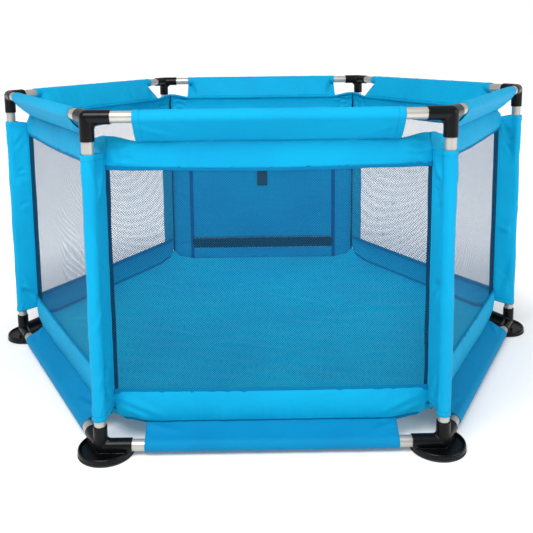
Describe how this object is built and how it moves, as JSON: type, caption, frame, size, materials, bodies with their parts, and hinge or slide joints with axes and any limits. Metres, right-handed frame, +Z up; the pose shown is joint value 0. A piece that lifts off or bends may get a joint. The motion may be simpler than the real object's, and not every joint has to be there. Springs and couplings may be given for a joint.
{
  "type": "playpen",
  "caption": "Hexagonal playpen: push-fit tube frame with moulded corner connectors and broad feet, fabric and net walls, fabric floor and a zipped rear doorway.",
  "frame": {"origin": "on the ground below the middle of the hexagon", "axes": "+X to the right along the front and rear rails, +Y from the front wall to the rear wall with the doorway, +Z up"},
  "size_m": [1.38, 1.2096, 0.6595],
  "materials": {
    "tube": "satin silver tube",
    "connector": "moulded black, semi-gloss",
    "pad": "matt black rubber",
    "fabric": "coated plain-weave polyester, slight sheen",
    "net": "fine knitted net",
    "zip_tape": "black woven zip tape",
    "slider": "nickel-plated",
    "pull_tab": "moulded black",
    "webbing": "black ribbed webbing"
  },
  "bodies": {
    "enclosure": {"post_front_left": "tube", "post_front_right": "tube", "post_right": "tube", "post_rear_right": "tube", "post_rear_left": "tube", "post_left": "tube", "top_rail_front": "tube", "top_rail_front_right": "tube", "top_rail_rear_right": "tube", "top_rail_rear": "tube", "top_rail_rear_left": "tube", "top_rail_front_left": "tube", "bottom_rail_front": "tube", "bottom_rail_front_right": "tube", "bottom_rail_rear_right": "tube", "bottom_rail_rear": "tube", "bottom_rail_rear_left": "tube", "bottom_rail_front_left": "tube", "top_connector_front_left": "connector", "top_connector_front_right": "connector", "top_connector_right": "connector", "top_connector_rear_right": "connector", "top_connector_rear_left": "connector", "top_connector_left": "connector", "foot_connector_front_left": "connector", "foot_connector_front_right": "connector", "foot_connector_right": "connector", "foot_connector_rear_right": "connector", "foot_connector_rear_left": "connector", "foot_connector_left": "connector", "foot_pads": "pad", "post_sleeve_front_left": "fabric", "post_sleeve_front_right": "fabric", "post_sleeve_right": "fabric", "post_sleeve_rear_right": "fabric", "post_sleeve_rear_left": "fabric", "post_sleeve_left": "fabric", "net_front": "net", "net_front_right": "net", "net_rear_right": "net", "net_rear_left": "net", "net_front_left": "net", "upper_valance_front": "fabric", "upper_valance_front_right": "fabric", "upper_valance_rear_right": "fabric", "upper_valance_rear": "fabric", "upper_valance_rear_left": "fabric", "upper_valance_front_left": "fabric", "lower_valance_front": "fabric", "lower_valance_front_right": "fabric", "lower_valance_rear_right": "fabric", "lower_valance_rear_left": "fabric", "lower_valance_front_left": "fabric", "rear_wall": "fabric", "floor_sheet": "fabric", "door_zip_tape": "zip_tape"},
    "door": {"door_panel": "fabric"},
    "slider": {"zip_slider": "slider"},
    "pull": {"zip_pull": "pull_tab"},
    "tie_strap": {"door_tie_strap": "webbing"}
  },
  "joints": [
    {"name": "door_swing", "type": "hinge", "parent": "enclosure", "child": "door", "pos_m": [0, 0.52642, 0.542], "axis": [1, 0, 0], "range_deg": [0, 145]},
    {"name": "zip_slide", "type": "slide", "parent": "enclosure", "child": "slider", "axis": [-1, 0, 0], "range_m": [0, 0.444]},
    {"name": "pull_swing", "type": "hinge", "parent": "slider", "child": "pull", "pos_m": [0.222, 0.53252, 0.109], "axis": [1, 0, 0], "range_deg": [0, 150]},
    {"name": "tie_strap_swing", "type": "hinge", "parent": "enclosure", "child": "tie_strap", "pos_m": [0, 0.52362, 0.547], "axis": [-1, 0, 0], "range_deg": [0, 100]}
  ]
}
